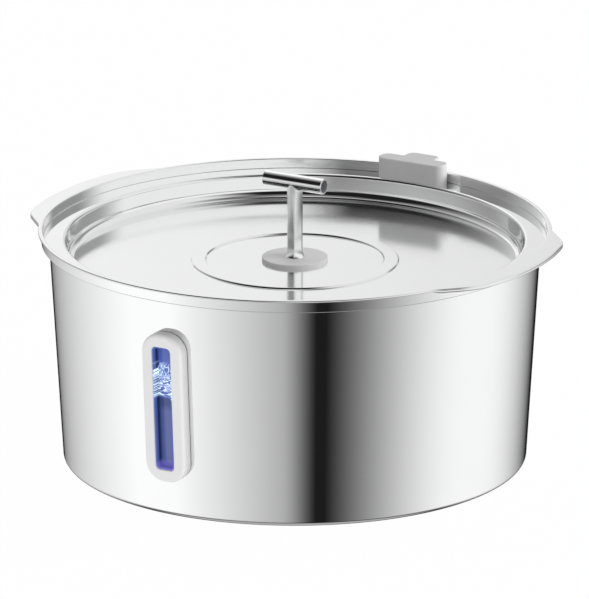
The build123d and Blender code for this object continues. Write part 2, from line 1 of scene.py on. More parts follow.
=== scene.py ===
# %% [markdown]
# # A pet water fountain, dressed for its picture
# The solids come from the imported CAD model. This lesson gives each of them the finish it has on
# the real fountain, and then builds the studio: a floor, the light and a camera. The window faces
# -Y, the carry ears lie along X and the cable clip sits at +Y.

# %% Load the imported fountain
import math

import bmesh
import bpy
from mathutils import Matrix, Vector


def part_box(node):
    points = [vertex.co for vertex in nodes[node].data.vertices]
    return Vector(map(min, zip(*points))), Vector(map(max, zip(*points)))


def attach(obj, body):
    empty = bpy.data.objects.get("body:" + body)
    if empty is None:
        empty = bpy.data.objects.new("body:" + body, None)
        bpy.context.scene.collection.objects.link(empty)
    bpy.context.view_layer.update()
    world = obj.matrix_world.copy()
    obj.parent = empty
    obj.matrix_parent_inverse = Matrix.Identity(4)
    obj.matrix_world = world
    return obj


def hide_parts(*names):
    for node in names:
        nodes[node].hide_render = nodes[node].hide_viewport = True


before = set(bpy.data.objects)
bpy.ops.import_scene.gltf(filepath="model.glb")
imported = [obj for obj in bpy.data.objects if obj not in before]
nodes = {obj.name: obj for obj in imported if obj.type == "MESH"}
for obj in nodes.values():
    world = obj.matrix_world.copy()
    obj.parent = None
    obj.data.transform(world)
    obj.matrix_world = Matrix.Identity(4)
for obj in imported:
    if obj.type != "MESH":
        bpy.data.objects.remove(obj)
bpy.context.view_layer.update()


# %% [markdown]
# ## How a finish is put together
# A real surface is never one flat colour. Under a lens there is a grain in its height, and its
# gloss changes a little from place to place. Two noise patterns give that: one for gloss and
# colour, one for the fine grain. Both read Object coordinates, which are metres in the fountain's
# own frame, so a pattern keeps its true size and stays on the piece.

# %% Helpers for finishes
MM = 0.001
NOISE_ROUGHNESS = 0.55    # how much the finer steps of a noise count
NOISE_RANGE = (0.3, 0.7)  # where nearly all values of a noise lie


class Finish:
    """A material and short ways to add nodes to it."""

    def __init__(self, name):
        self.material = bpy.data.materials.new(name)
        self.material.use_nodes = True
        self.tree = self.material.node_tree
        self.shader = self.tree.nodes["Principled BSDF"]
        self.place = self.tree.nodes.new("ShaderNodeTexCoord").outputs["Object"]

    def node(self, kind, **settings):
        made = self.tree.nodes.new(kind)
        for key, value in settings.items():
            setattr(made, key, value)
        return made

    def link(self, source, target):
        self.tree.links.new(source, target)

    def put(self, socket, value):
        """Give an input a number, or the output of another node."""
        if isinstance(value, (int, float)):
            socket.default_value = value
        else:
            self.link(value, socket)

    def calc(self, operation, *values, clamp=False):
        """One Math node; the values are numbers or outputs."""
        made = self.node("ShaderNodeMath", operation=operation, use_clamp=clamp)
        for socket, value in zip(made.inputs, values):
            self.put(socket, value)
        return made.outputs[0]

    def distance(self, first, second):
        """How far a point is from an axis, from its two coordinates across that axis."""
        squares = [self.calc("MULTIPLY", value, value) for value in (first, second)]
        return self.calc("SQRT", self.calc("ADD", *squares))

    def spread(self, value, low, high, to_low=0.0, to_high=1.0, smooth=False):
        """Map a value from one range to another, and stop at its ends."""
        made = self.node("ShaderNodeMapRange", clamp=True)
        made.interpolation_type = "SMOOTHSTEP" if smooth else "LINEAR"
        for socket, number in zip(made.inputs, (value, low, high, to_low, to_high)):
            self.put(socket, number)
        return made.outputs[0]

    def varied(self, pattern, to_low, to_high):
        """Map a noise to a range of its own."""
        return self.spread(pattern, *NOISE_RANGE, to_low, to_high)

    def stretched(self, scale):
        """Object coordinates multiplied by a scale for each axis."""
        made = self.node("ShaderNodeMapping")
        made.inputs["Scale"].default_value = scale
        self.link(self.place, made.inputs["Vector"])
        return made.outputs[0]

    def axes(self):
        """X, Y and Z of the point that is shaded, in metres."""
        made = self.node("ShaderNodeSeparateXYZ")
        self.link(self.place, made.inputs[0])
        return made.outputs

    def noise(self, size_mm, detail=3.0, where=None):
        """Noise whose patches are about size_mm across."""
        made = self.node("ShaderNodeTexNoise")
        made.inputs["Scale"].default_value = 1000.0 / size_mm
        made.inputs["Detail"].default_value = detail
        made.inputs["Roughness"].default_value = NOISE_ROUGHNESS
        self.link(where or self.place, made.inputs["Vector"])
        return made.outputs["Fac"]

    def cells(self, size_mm, feature="F1", output="Distance"):
        """Rounded cells about size_mm across."""
        made = self.node("ShaderNodeTexVoronoi", feature=feature)
        made.inputs["Scale"].default_value = 1000.0 / size_mm
        self.link(self.place, made.inputs["Vector"])
        return made.outputs[output]

    def blend(self, amount, first, second):
        """Mix two colours, each a colour or an output."""
        made = self.node("ShaderNodeMix", data_type="RGBA")
        self.put(made.inputs["Factor"], amount)
        for socket, colour in ((made.inputs["A"], first), (made.inputs["B"], second)):
            if isinstance(colour, tuple):
                socket.default_value = (*colour, 1.0)
            else:
                self.link(colour, socket)
        return made.outputs["Result"]

    def colour(self, pattern):
        self.link(pattern, self.shader.inputs["Base Color"])

    def gloss(self, value):
        self.put(self.shader.inputs["Roughness"], value)

    def relief(self, height, depth_mm):
        """Bump the surface by a height pattern of a given depth."""
        made = self.node("ShaderNodeBump")
        made.inputs["Strength"].default_value = 1.0
        made.inputs["Distance"].default_value = depth_mm * MM
        self.link(height, made.inputs["Height"])
        self.link(made.outputs["Normal"], self.shader.inputs["Normal"])

    def set(self, **constants):
        """Numbers that are the same all over go straight on the shader's own sockets."""
        for name, value in constants.items():
            self.shader.inputs[name.replace("_", " ")].default_value = value


def dress(finish, *names):
    """Give CAD pieces a finish, in every material slot they have."""
    for name in names:
        for slot in nodes[name].material_slots:
            slot.material = finish.material
    print(finish.material.name, "->", ", ".join(names))


def shaded(colour, share):
    """A colour brought down to a share of its light."""
    return tuple(share * part for part in colour)


# %% [markdown]
# ## Polished steel
# The bowl and the tray are drawn from 0.6 mm stainless sheet and polished on a spinning wheel.
# The wheel leaves rings too fine to see, which blur a reflection a little. A pattern that changes
# only with the distance from the axis and with height makes such rings: a wall gets fine lines
# round it, and a floor gets circles. The bowl's wall is the mirror of the set. The tray's floor is
# softer, because it is pressed and then only buffed, and so is the inner side of the band, where
# the wheel can't reach.

# %% Steel finishes
STEEL = (0.955, 0.957, 0.960)
ZONE_EDGE = 0.3           # the change of gloss comes over this many millimetres


def steel_finish(name, low_gloss, high_gloss, ring_depth_mm, start_mm, end_mm, change):
    """Steel whose roughness changes between two distances from the axis."""
    steel = Finish(name)
    x, y, z = steel.axes()
    radius = steel.distance(x, y)
    rings = steel.node("ShaderNodeCombineXYZ")
    steel.link(radius, rings.inputs["X"])
    steel.link(z, rings.inputs["Z"])
    fine = steel.noise(0.6, detail=2.0, where=rings.outputs[0])
    patches = steel.noise(30.0)
    steel.colour(steel.blend(patches, STEEL, shaded(STEEL, 0.975)))
    gloss = steel.varied(patches, low_gloss, high_gloss)
    past_start = steel.spread(radius, (start_mm - ZONE_EDGE) * MM, start_mm * MM)
    before_end = steel.spread(radius, (end_mm + ZONE_EDGE) * MM, end_mm * MM)
    zone = steel.calc("MULTIPLY", past_start, before_end)
    steel.gloss(steel.calc("MULTIPLY_ADD", zone, change, gloss))
    steel.relief(fine, ring_depth_mm)
    steel.set(Metallic=1.0)
    return steel


bowl_steel = steel_finish("steel_bowl", low_gloss=0.030, high_gloss=0.050, ring_depth_mm=0.0008,
                          start_mm=108.8, end_mm=109.1, change=0.05)
tray_steel = steel_finish("steel_tray", low_gloss=0.115, high_gloss=0.145, ring_depth_mm=0.0002,
                          start_mm=95.5, end_mm=120.0, change=-0.075)
print("steel:", bowl_steel.material.name, "and", tray_steel.material.name)


# %% [markdown]
# ## Turning a piece from its outline
# A mirror shows every facet, so the bowl and the tray are turned again here in finer steps than
# the CAD mesh has. An outline is a row of corners: radius, height and rounding, in millimetres.
# Bevelling a corner's vertex rounds it: the bevel takes its length along the edges, and for a
# rounding of radius r in a corner of angle a that length is r / tan(a / 2). A spin then sweeps the
# outline round the axis, and use_merge closes it.

# %% Turned pieces
STEPS = 480               # faces in a full turn
CORNER_STEPS = 8          # faces in the rounding of a corner
SHARP = 0                 # the rounding of a corner that has none
FAR = 200                 # farther out than any part of the fountain, in millimetres


def turned(corners, closed):
    """Spin an outline about Z. A corner is its radius, height and rounding, in mm."""
    shape = bmesh.new()
    row = [shape.verts.new((radius * MM, 0.0, height * MM)) for radius, height, _ in corners]
    for first, second in zip(row, row[1:] + row[:1] if closed else row[1:]):
        shape.edges.new((first, second))
    for corner, (_, _, rounding) in zip(row, corners):
        if rounding == SHARP:
            continue
        ways = [(edge.other_vert(corner).co - corner.co).normalized() for edge in corner.link_edges]
        length = rounding * MM / math.tan(ways[0].angle(ways[1]) / 2)
        bmesh.ops.bevel(shape, geom=[corner], offset=length, offset_type="OFFSET",
                        segments=CORNER_STEPS, profile=0.5, affect="VERTICES", material=-1)
    bmesh.ops.spin(shape, geom=shape.verts[:] + shape.edges[:], cent=(0, 0, 0), axis=(0, 0, 1),
                   angle=2 * math.pi, steps=STEPS, use_merge=True)
    bmesh.ops.remove_doubles(shape, verts=shape.verts, dist=0.001 * MM)
    return shape


def cut(shape, faces, point, normal):
    """Divide some faces along a plane."""
    edges = {edge for face in faces for edge in face.edges}
    verts = {vert for face in faces for vert in face.verts}
    bmesh.ops.bisect_plane(shape, geom=list(verts) + list(edges) + faces,
                           plane_co=point, plane_no=normal, dist=0.0001 * MM)


def between(low, value, high):
    """Whether a value in metres lies between two limits in millimetres."""
    return low * MM < value < high * MM


def faces_within(shape, x, y, z=(0, FAR)):
    """Faces whose middle lies within these ranges, in millimetres."""
    found = []
    for face in shape.faces:
        limits = zip(face.calc_center_median(), (x, y, z))
        if all(between(low, value, high) for value, (low, high) in limits):
            found.append(face)
    return found


def open_edges(shape):
    """Edges that have a face on one side only."""
    return [edge for edge in shape.edges if edge.is_boundary]


def settle(shape, name, finish, body, node):
    """Make an object of a finished shape, smooth except at its sharp edges."""
    bmesh.ops.recalc_face_normals(shape, faces=shape.faces)
    not_closed = sum(not edge.is_manifold for edge in shape.edges)
    mesh = bpy.data.meshes.new(name)
    shape.to_mesh(mesh)
    shape.free()
    mesh.shade_smooth()
    mesh.set_sharp_from_angle(angle=math.radians(40))
    mesh.materials.append(finish.material)
    piece = bpy.data.objects.new(name, mesh)
    bpy.context.collection.objects.link(piece)
    even = piece.modifiers.new("even_normals", "WEIGHTED_NORMAL")
    even.keep_sharp = True
    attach(piece, body)
    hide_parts(node)
    print(name, "faces:", len(mesh.polygons), "open edges:", not_closed)


# %% [markdown]
# ## The bowl
# The bowl's wall leans out a little. Under the rim it steps out to a ledge that carries the
# tray, and an upright band leads to the rolled rim. The rim runs out into two carry ears.

# %% Bowl dimensions, in millimetres
SHEET = 0.6
BASE_RADIUS = 100.8
BASE_ROUND = 2.5
WALL_TOP_RADIUS = 106.3
LEDGE_TOP = 97.95
LEDGE_ROUND = 0.3
BAND_RADIUS = 109.6
BAND_FOOT_ROUND = 0.4
BAND_TOP_ROUND = 0.2
RIM_HEIGHT = 103.0
RIM_BOTTOM = 102.1
RIM_RADIUS = 111.0
RIM_ROUND = 0.6
RIM_LOWER_ROUND = 0.25
RIM_INNER_ROUND = 0.5
EAR_REACH = 117.9
EAR_SHOULDER = Vector((111.3, 39.2))
EAR_ROOT_ANGLE = math.radians(28.4)
EAR_ROUND = 27.0
EAR_FOLD = 1.0            # how far out the rim has to run before it is folded in full

# %% [markdown]
# The edge of an ear is a flat arc that two straight sides cut off, with a rounded corner between
# arc and side. The arc runs through both shoulders and the point of farthest reach, which gives
# its centre. The corner touches the arc and the side from within, so its own centre lies one
# rounding inside of both.

# %% Where the edge of an ear runs
to_arc = (EAR_SHOULDER.length_squared - EAR_REACH ** 2) / (2 * (EAR_SHOULDER.x - EAR_REACH))
arc_centre = Vector((to_arc, 0.0))
arc_radius = EAR_REACH - arc_centre.x
ear_root = RIM_RADIUS * Vector((math.cos(EAR_ROOT_ANGLE), math.sin(EAR_ROOT_ANGLE)))
along_side = (ear_root - EAR_SHOULDER).normalized()
out_of_side = Vector((along_side.y, -along_side.x))
side_reach = ear_root.dot(out_of_side)
inner_arc = arc_radius - EAR_ROUND
step_in = side_reach - EAR_ROUND
run_back = math.sqrt(inner_arc ** 2 - (step_in - arc_centre.dot(out_of_side)) ** 2)
round_centre = out_of_side * step_in + along_side * (arc_centre.dot(along_side) - run_back)
round_start = arc_centre + (round_centre - arc_centre).normalized() * arc_radius
round_end = round_centre + out_of_side * EAR_ROUND
print("ear: arc radius %.1f mm, centre at x = %.1f mm" % (arc_radius, arc_centre.x))


def reach_of_circle(way, centre, radius):
    """How far out a ray from the bowl's axis meets a circle."""
    nearest = way.dot(centre)
    return nearest + math.sqrt(radius ** 2 - centre.length_squared + nearest ** 2)


def rim_edge(angle):
    """Distance from the axis to the rim's outer edge at an angle round from +X."""
    angle = min(abs(angle), math.pi - abs(angle))
    way = Vector((math.cos(angle), math.sin(angle)))
    if angle > EAR_ROOT_ANGLE:
        return RIM_RADIUS
    if angle < math.atan2(round_start.y, round_start.x):
        return reach_of_circle(way, arc_centre, arc_radius)
    if angle < math.atan2(round_end.y, round_end.x):
        return reach_of_circle(way, round_centre, EAR_ROUND)
    return side_reach / way.dot(out_of_side)


# %% [markdown]
# The bowl's outline goes up the outside, over the rim and down the inside. After the spin, each
# vertex of the rim's outer edge is moved out to the ear's edge along its own radius. The ear's
# edge is folded back once more, so it is twice as thick as the rim.

# %% Turn the bowl and pull out its ears
NUDGE = 0.01              # so that a vertex right on a limit counts as inside
bowl = turned(
    [
        (0, 0, SHARP),
        (BASE_RADIUS, 0, BASE_ROUND),
        (WALL_TOP_RADIUS, LEDGE_TOP - SHEET, LEDGE_ROUND),
        (BAND_RADIUS, LEDGE_TOP - SHEET, BAND_FOOT_ROUND),
        (BAND_RADIUS, RIM_BOTTOM, BAND_TOP_ROUND),
        (RIM_RADIUS, RIM_BOTTOM, RIM_LOWER_ROUND),
        (RIM_RADIUS, RIM_HEIGHT, RIM_ROUND),
        (BAND_RADIUS - SHEET, RIM_HEIGHT, RIM_INNER_ROUND),
        (BAND_RADIUS - SHEET, LEDGE_TOP, LEDGE_ROUND),
        (WALL_TOP_RADIUS - SHEET, LEDGE_TOP, LEDGE_ROUND),
        (BASE_RADIUS - SHEET, SHEET, BASE_ROUND - SHEET),
        (0, SHEET, SHARP),
    ],
    closed=False,
)
rim_starts = (RIM_BOTTOM - BAND_TOP_ROUND - NUDGE) * MM
outside_starts = (BAND_RADIUS - NUDGE) * MM
edge_starts = (RIM_RADIUS - RIM_ROUND - NUDGE) * MM
for vert in bowl.verts:
    flat = vert.co.xy
    if vert.co.z < rim_starts or flat.length < outside_starts:
        continue
    pull = rim_edge(math.atan2(flat.y, flat.x)) - RIM_RADIUS
    fold = 1 + min(pull, EAR_FOLD)
    vert.co.z = RIM_HEIGHT * MM - (RIM_HEIGHT * MM - vert.co.z) * fold
    if flat.length > edge_starts:
        reach = (RIM_RADIUS + pull) * MM - (RIM_RADIUS * MM - flat.length) * fold
        vert.co.xy = flat.normalized() * reach

# %% [markdown]
# The window's neck goes through the wall. Four cuts outline its hole on the outer and on the
# inner side of the sheet, the faces inside them go, and a bridge closes the sheet's edge.

# %% Cut the window's hole
HOLE_LEFT, HOLE_RIGHT, HOLE_BOTTOM, HOLE_TOP = -7.3, 5.1, 21.15, 79.65
AROUND_ACROSS, AROUND_UP = (-14, 14), (8, 96)    # the part of the wall that the cuts may divide
FRONT = (-FAR, -90)
for point, normal in (
    ((HOLE_LEFT * MM, 0, 0), (1, 0, 0)),
    ((HOLE_RIGHT * MM, 0, 0), (1, 0, 0)),
    ((0, 0, HOLE_BOTTOM * MM), (0, 0, 1)),
    ((0, 0, HOLE_TOP * MM), (0, 0, 1)),
):
    cut(bowl, faces_within(bowl, AROUND_ACROSS, FRONT, AROUND_UP), point, normal)
inside = faces_within(bowl, (HOLE_LEFT, HOLE_RIGHT), FRONT, (HOLE_BOTTOM, HOLE_TOP))
bmesh.ops.delete(bowl, geom=inside, context="FACES")
bmesh.ops.bridge_loops(bowl, edges=open_edges(bowl))
settle(bowl, "bowl_turned", bowl_steel, "bowl", "bowl")

# %% [markdown]
# ## The tray
# The tray is a shallow well with a raised ring pressed into its floor and a flange that lies on
# the bowl's ledge. Its hole takes the neck of the spout's seal. The outline goes out along the
# upper side, round the flange's edge and back along the underside.

# %% Turn the tray
TRAY_SHEET = 0.6
FLOOR_TOP = 88.2
FLOOR_UNDER = FLOOR_TOP - TRAY_SHEET
FOOT_RADIUS = 98.9
FOOT_ROUND = 4.0
LIP_RADIUS = 99.1
LIP_ROUND = 1.4
LIP_UNDER_ROUND = 0.7
FLANGE_TOP = LEDGE_TOP + TRAY_SHEET
FLANGE_RADIUS = 108.6
FLANGE_ROUND = 0.15
HOLE_RADIUS = 7.3
RING_INNER, RING_OUTER, RING_HEIGHT = 38.3, 45.1, 0.7
RING_SLOPE = 0.55         # how wide the slopes on both sides of the ring are
RING_INSET = 0.3          # how far inside of them the slopes of the underside lie
RING_FOOT_ROUND = 0.15
RING_TOP_ROUND = 0.2
tray = turned(
    [
        (HOLE_RADIUS, FLOOR_TOP, SHARP),
        (RING_INNER, FLOOR_TOP, RING_FOOT_ROUND),
        (RING_INNER + RING_SLOPE, FLOOR_TOP + RING_HEIGHT, RING_TOP_ROUND),
        (RING_OUTER - RING_SLOPE, FLOOR_TOP + RING_HEIGHT, RING_TOP_ROUND),
        (RING_OUTER, FLOOR_TOP, RING_FOOT_ROUND),
        (FOOT_RADIUS, FLOOR_TOP, FOOT_ROUND),
        (LIP_RADIUS, FLANGE_TOP, LIP_ROUND),
        (FLANGE_RADIUS, FLANGE_TOP, FLANGE_ROUND),
        (FLANGE_RADIUS, LEDGE_TOP, FLANGE_ROUND),
        (LIP_RADIUS + TRAY_SHEET, LEDGE_TOP, LIP_UNDER_ROUND),
        (FOOT_RADIUS + TRAY_SHEET, FLOOR_UNDER, FOOT_ROUND + TRAY_SHEET),
        (RING_OUTER - RING_INSET, FLOOR_UNDER, SHARP),
        (RING_OUTER - RING_INSET - RING_SLOPE, FLOOR_UNDER + RING_HEIGHT, SHARP),
        (RING_INNER + RING_INSET + RING_SLOPE, FLOOR_UNDER + RING_HEIGHT, SHARP),
        (RING_INNER + RING_INSET, FLOOR_UNDER, SHARP),
        (HOLE_RADIUS, FLOOR_UNDER, SHARP),
    ],
    closed=True,
)
print("tray: well %.2f mm deep" % (FLANGE_TOP - FLOOR_TOP))

# %% [markdown]
# A notch in the flange, under the clip, lets the lead up and spilt water back. Three cuts outline
# it and its faces go. A bridge joins the upper edges of the gap to the lower ones, and the open
# ends that are left are filled.

# %% Cut the notch and settle the tray
NOTCH_HALF, NOTCH_START = 4.0, 102.1
NOTCH_ACROSS, NOTCH_BACK = (-8, 8), (99, FAR)    # the part of the flange that the cuts may divide
LEVEL = 0.1               # a level edge rises less than this, in millimetres
for point, normal in (
    ((NOTCH_HALF * MM, 0, 0), (1, 0, 0)),
    ((-NOTCH_HALF * MM, 0, 0), (1, 0, 0)),
    ((0, NOTCH_START * MM, 0), (0, 1, 0)),
):
    cut(tray, faces_within(tray, NOTCH_ACROSS, NOTCH_BACK), point, normal)
inside = faces_within(tray, (-NOTCH_HALF, NOTCH_HALF), (NOTCH_START, FAR))
bmesh.ops.delete(tray, geom=inside, context="FACES")
level_edges = []
for edge in open_edges(tray):
    start, end = (vert.co.z for vert in edge.verts)
    on_top = between(FLANGE_TOP - NUDGE, start, FLANGE_TOP + NUDGE)
    on_underside = between(LEDGE_TOP - NUDGE, start, LEDGE_TOP + NUDGE)
    if abs(start - end) < LEVEL * MM and (on_top or on_underside):
        level_edges.append(edge)
bmesh.ops.bridge_loops(tray, edges=level_edges)
bmesh.ops.holes_fill(tray, edges=open_edges(tray), sides=0)
settle(tray, "tray_turned", tray_steel, "tray", "tray")


# %% [markdown]
# ## The spout's tube
# The T-shaped spout is bright drawn tube. The outside of the cross tube is a fine mirror, and the
# stem is a little softer. The cross tube's bore is never polished, so it is a dull grey. One
# material can hold all three: the distance from the cross tube's axis says whether a point is on
# the outside or in the bore, and its height says whether it is on the stem.

# %% Tube finish
BORE_DEPTH, SKIN_DEPTH = 0.65, 0.45      # in mm under the surface: all bore, and all outside
rim_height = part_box("bowl")[1][2]
bar_low, bar_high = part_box("spout_bar")
bar_axis = (bar_low[2] + bar_high[2]) / 2
bar_radius = (bar_high[2] - bar_low[2]) / 2
print("cross tube: axis %.1f mm up, radius %.2f mm" % (bar_axis / MM, bar_radius / MM))
print("cross tube: axis %.1f mm over the rim" % ((bar_axis - rim_height) / MM))

tube = Finish("steel_tube")
x, y, z = tube.axes()
rise = tube.calc("SUBTRACT", z, bar_axis)
reach = tube.distance(y, rise)
outside = tube.spread(reach, bar_radius - BORE_DEPTH * MM, bar_radius - SKIN_DEPTH * MM)
in_bar = tube.calc("GREATER_THAN", z, bar_axis - bar_radius)
bore = tube.calc("MULTIPLY", tube.calc("SUBTRACT", 1.0, outside), in_bar)
scratches = tube.noise(0.5, detail=2.0, where=tube.stretched((0.05, 1.0, 1.0)))
tube.colour(tube.blend(bore, STEEL, (0.36, 0.36, 0.38)))
in_stem = tube.calc("LESS_THAN", z, bar_axis - 1.2 * bar_radius)
softer = tube.calc("ADD", tube.calc("MULTIPLY", bore, 0.45), tube.calc("MULTIPLY", in_stem, 0.12))
tube.gloss(tube.calc("ADD", tube.varied(scratches, 0.04, 0.08), softer))
tube.put(tube.shader.inputs["Metallic"], tube.spread(bore, 0.0, 1.0, 1.0, 0.25))
tube.relief(scratches, 0.0008)
dress(tube, "spout_bar", "spout_stem")


# %% [markdown]
# ## Moulded plastic
# The window's bezel, the pump and the filter box are injection-moulded. The mould is spark
# eroded, which leaves a fine even grain, and the gloss of the plastic varies slowly where it
# cooled. One helper makes them all, with a colour, a gloss and a grain size.

# %% Plastic finishes
def moulded(name, colour, gloss=0.4, grain_mm=0.35, grain_depth_mm=0.006):
    plastic = Finish(name)
    slow = plastic.noise(18.0)
    grain = plastic.noise(grain_mm, detail=2.0)
    plastic.colour(plastic.blend(slow, colour, shaded(colour, 0.94)))
    plastic.gloss(plastic.varied(slow, gloss - 0.05, gloss + 0.05))
    plastic.relief(grain, grain_depth_mm)
    return plastic


dress(moulded("plastic_bezel", (0.86, 0.86, 0.86), gloss=0.38), "window_bezel")
dress(moulded("plastic_clamp", (0.72, 0.73, 0.73)), "window_clamp")
dress(moulded("plastic_box", (0.78, 0.80, 0.81), gloss=0.45), "filter_box", "filter_box_lid")
dress(moulded("plastic_cartridge", (0.82, 0.83, 0.82), gloss=0.5), "filter_cartridge")
dress(moulded("plastic_pump", (0.055, 0.058, 0.065), gloss=0.42), "pump_body", "pump_cover")
dress(moulded("plastic_impeller", (0.80, 0.80, 0.78), gloss=0.35), "impeller")


# %% [markdown]
# ## Silicone and rubber
# The cable clip and the seal under the spout are grey silicone, soft enough to push on by hand.
# Silicone is matt, its skin shows a faint orange peel, and dust clings to it in patches. The
# gasket, the cups and the cord's gland are darker rubber with the same skin.

# %% Silicone finishes
def silicone(name, colour, gloss=0.55, peel_depth_mm=0.012):
    rubber = Finish(name)
    peel = rubber.noise(0.9)
    dust = rubber.noise(7.0, detail=4.0)
    rubber.colour(rubber.blend(dust, colour, shaded(colour, 0.93)))
    rubber.gloss(rubber.varied(dust, gloss - 0.05, gloss + 0.06))
    rubber.relief(peel, peel_depth_mm)
    return rubber


dress(silicone("silicone_clip", (0.62, 0.62, 0.62)), "cable_clip")
dress(silicone("silicone_seal", (0.70, 0.70, 0.70)), "spout_seal")
dress(silicone("silicone_hose", (0.62, 0.64, 0.65), gloss=0.3), "riser_hose")
dress(silicone("rubber_gasket", (0.13, 0.13, 0.135)), "window_gasket")
dress(silicone("rubber_cups", (0.035, 0.035, 0.038)), "suction_cups", "cord_gland")


# %% [markdown]
# ## The lit level window
# The window is a deep dish of clear blue acrylic, lit from the pump by blue lamps. Above the
# water the light breaks up on the ripples into bright threads, and below it the dish is an even
# deep blue. That light is painted on with an emission pattern. Depth is counted from the dish's
# rim inwards along Y, so painted shade can darken the dish's side walls towards its floor.

# %% Window dish finish: where a point is
DISH_MIDDLE, DISH_HALF = -1.1, 3.95      # in millimetres: the middle and half the width of the hollow
DISH_BOTTOM = 23.8
WATER = 54.0                             # height of the waterline in the dish
DISH_LEAN = 0.0565                       # the wall leans out this much for each step up
DISH_RIM = -105.7                        # Y of the dish's rim, carried down to the bowl's foot
FLOOR_FROM, FLOOR_FULL = 3.2, 3.5        # depths at which the floor of the dish begins
lens_low, lens_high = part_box("window_lens")
lens_wide = (lens_high[0] - lens_low[0]) / MM
lens_tall = (lens_high[2] - lens_low[2]) / MM
print("window dish: %.1f x %.1f mm" % (lens_wide, lens_tall))

lens = Finish("acrylic_window")
x, y, z = lens.axes()
side = lens.calc("DIVIDE", lens.calc("SUBTRACT", x, DISH_MIDDLE * MM), MM)
level = lens.calc("DIVIDE", z, MM)
rim = lens.calc("MULTIPLY_ADD", level, -DISH_LEAN, DISH_RIM)
depth = lens.calc("SUBTRACT", lens.calc("DIVIDE", y, MM), rim)
on_floor = lens.spread(depth, FLOOR_FROM, FLOOR_FULL)

# %% [markdown]
# A ripple is a place where a stretched and bent noise passes its middle value: there the thread
# is bright, and on both sides of it it fades. Near the waterline the threads lie flat, and higher
# up they turn into upright petals, so two noises are mixed by height.

# %% Window dish finish: the light on the ripples
def threads(across_mm, up_mm, width, seed):
    """Bright threads of a noise whose patches are across_mm wide and up_mm high."""
    place = lens.node("ShaderNodeCombineXYZ")
    lens.link(lens.calc("ADD", lens.calc("DIVIDE", side, across_mm), seed), place.inputs["X"])
    lens.link(lens.calc("DIVIDE", level, up_mm), place.inputs["Z"])
    pattern = lens.node("ShaderNodeTexNoise")
    for name, value in (("Scale", 1.0), ("Detail", 1.5), ("Distortion", 0.9)):
        pattern.inputs[name].default_value = value
    lens.link(place.outputs[0], pattern.inputs["Vector"])
    off = lens.calc("ABSOLUTE", lens.calc("SUBTRACT", pattern.outputs["Fac"], 0.5))
    return lens.calc("POWER", lens.spread(off, width, 0.0), 1.5)


petals = threads(1.3, 2.6, width=0.085, seed=3.0)
flat_lines = threads(4.5, 0.9, width=0.10, seed=11.0)
high = lens.spread(level, WATER + 7.0, WATER + 12.0, smooth=True)
over_water = lens.spread(level, WATER, WATER + 1.5, smooth=True)
below_top = lens.spread(level, WATER + 17.0, WATER + 13.5, smooth=True)
lit_part = lens.calc("MULTIPLY", over_water, below_top)
upright = lens.calc("MULTIPLY", petals, high)
lying = lens.calc("MULTIPLY", flat_lines, lens.calc("SUBTRACT", 1.0, high))
glow = lens.calc("MULTIPLY", lens.calc("ADD", upright, lying), lit_part, clamp=True)

# %% [markdown]
# The blues go from a clear one above the water, over a darker band just under it, to a deep one
# that is lighter on the right. Painted shade darkens the floor of the dish along its two sides, and a
# painted violet light lies along the dish's foot. All of it glows a little as painted light, and the
# threads glow most.

# %% Window dish finish: its blues
upper = lens.blend(lens.spread(level, 68.0, 76.0), (0.085, 0.125, 0.44), (0.075, 0.11, 0.37))
deep = lens.blend(lens.spread(side, -4.0, -1.0), (0.060, 0.090, 0.230), (0.095, 0.120, 0.320))
shore = lens.spread(level, WATER - 3.0, WATER - 6.0)
water = lens.blend(shore, (0.045, 0.070, 0.190), deep)
floor_blue = lens.blend(lens.spread(level, WATER - 0.4, WATER + 0.4), water, upper)
# painted shade: the side walls darken from a clear blue to nearly black towards the dish's floor
shaded_wall_blue = lens.blend(lens.spread(depth, 1.2, 2.2), (0.070, 0.115, 0.36), (0.012, 0.020, 0.075))
blues = lens.blend(on_floor, shaded_wall_blue, floor_blue)
from_middle = lens.calc("ABSOLUTE", side)
# painted shade: the floor of the dish darkens along its two sides, next to the walls
edge = lens.calc("MULTIPLY", lens.spread(from_middle, DISH_HALF - 0.7, DISH_HALF - 0.1), on_floor)
violet = lens.spread(level, DISH_BOTTOM + 2.6, DISH_BOTTOM + 0.6)
blues = lens.blend(lens.calc("MULTIPLY", edge, 0.7), blues, (0.02, 0.03, 0.12))
# painted light: a violet glow along the dish's foot
blues = lens.blend(lens.calc("MULTIPLY", violet, 0.6), blues, (0.22, 0.18, 0.62))
# painted light: the threads' pale glow and the dish's own glow stand for the blue lamps' light
lit = lens.blend(glow, blues, (0.72, 0.88, 1.0))
lens.colour(lit)
lens.link(lit, lens.shader.inputs["Emission Color"])
lens.put(lens.shader.inputs["Emission Strength"], lens.calc("MULTIPLY_ADD", glow, 0.6, 0.35))
lens.gloss(lens.varied(lens.noise(6.0), 0.05, 0.09))
lens.set(IOR=1.49)
dress(lens, "window_lens")


# %% [markdown]
# ## Inside the filter box
# Water is drawn through a foam sleeve, pushed up by the pump, and falls back through the lid, a
# pad of fleece and a bed of carbon. The tray hides all of it until it is lifted out, but the
# pieces are there, so each gets the finish it has in the hand.

# %% Filter media finishes
foam = Finish("foam_sleeve_finish")
pores = foam.cells(1.1)
# painted shade: each pore is darkest at its middle, where it sinks in
foam.colour(foam.blend(foam.spread(pores, 0.1, 0.6), (0.030, 0.034, 0.040), (0.11, 0.12, 0.13)))
foam.gloss(0.95)
foam.relief(pores, 0.5)
dress(foam, "foam_sleeve")

carbon = Finish("carbon_granules")
grains = carbon.cells(1.6)
shades = carbon.cells(1.6, output="Color")
half_shade = carbon.calc("MULTIPLY", shades, 0.5)
carbon.colour(carbon.blend(half_shade, (0.012, 0.012, 0.013), (0.06, 0.06, 0.063)))
carbon.gloss(carbon.spread(shades, 0.0, 1.0, 0.35, 0.8))
carbon.relief(grains, 0.6)
dress(carbon, "carbon_bed")

